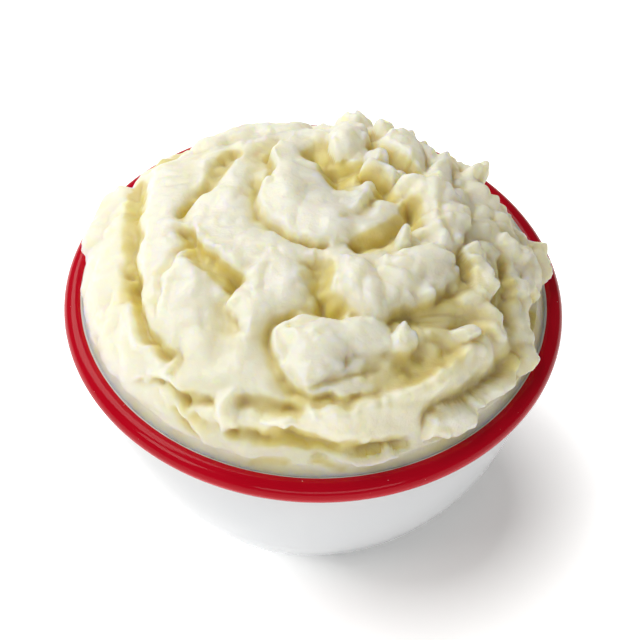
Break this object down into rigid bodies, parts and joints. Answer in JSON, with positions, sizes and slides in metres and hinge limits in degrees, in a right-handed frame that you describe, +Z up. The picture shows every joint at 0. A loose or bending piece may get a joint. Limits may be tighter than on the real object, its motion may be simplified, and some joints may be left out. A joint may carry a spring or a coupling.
{
  "type": "bowl of mashed potato",
  "caption": "Round white enamelled bowl with a red rolled rim, heaped with spooned mashed potato; stands on its flat base.",
  "frame": {"origin": "centre of the bowl's base, on the surface it stands on", "axes": "+Z up, +Y away from the viewer of the picture, +X to the viewer's right"},
  "size_m": [0.144, 0.144, 0.0931],
  "materials": {
    "enamel": "gloss",
    "potato": "satin"
  },
  "bodies": {
    "root": {"bowl": "enamel", "mashed_potato": "potato"}
  },
  "joints": []
}
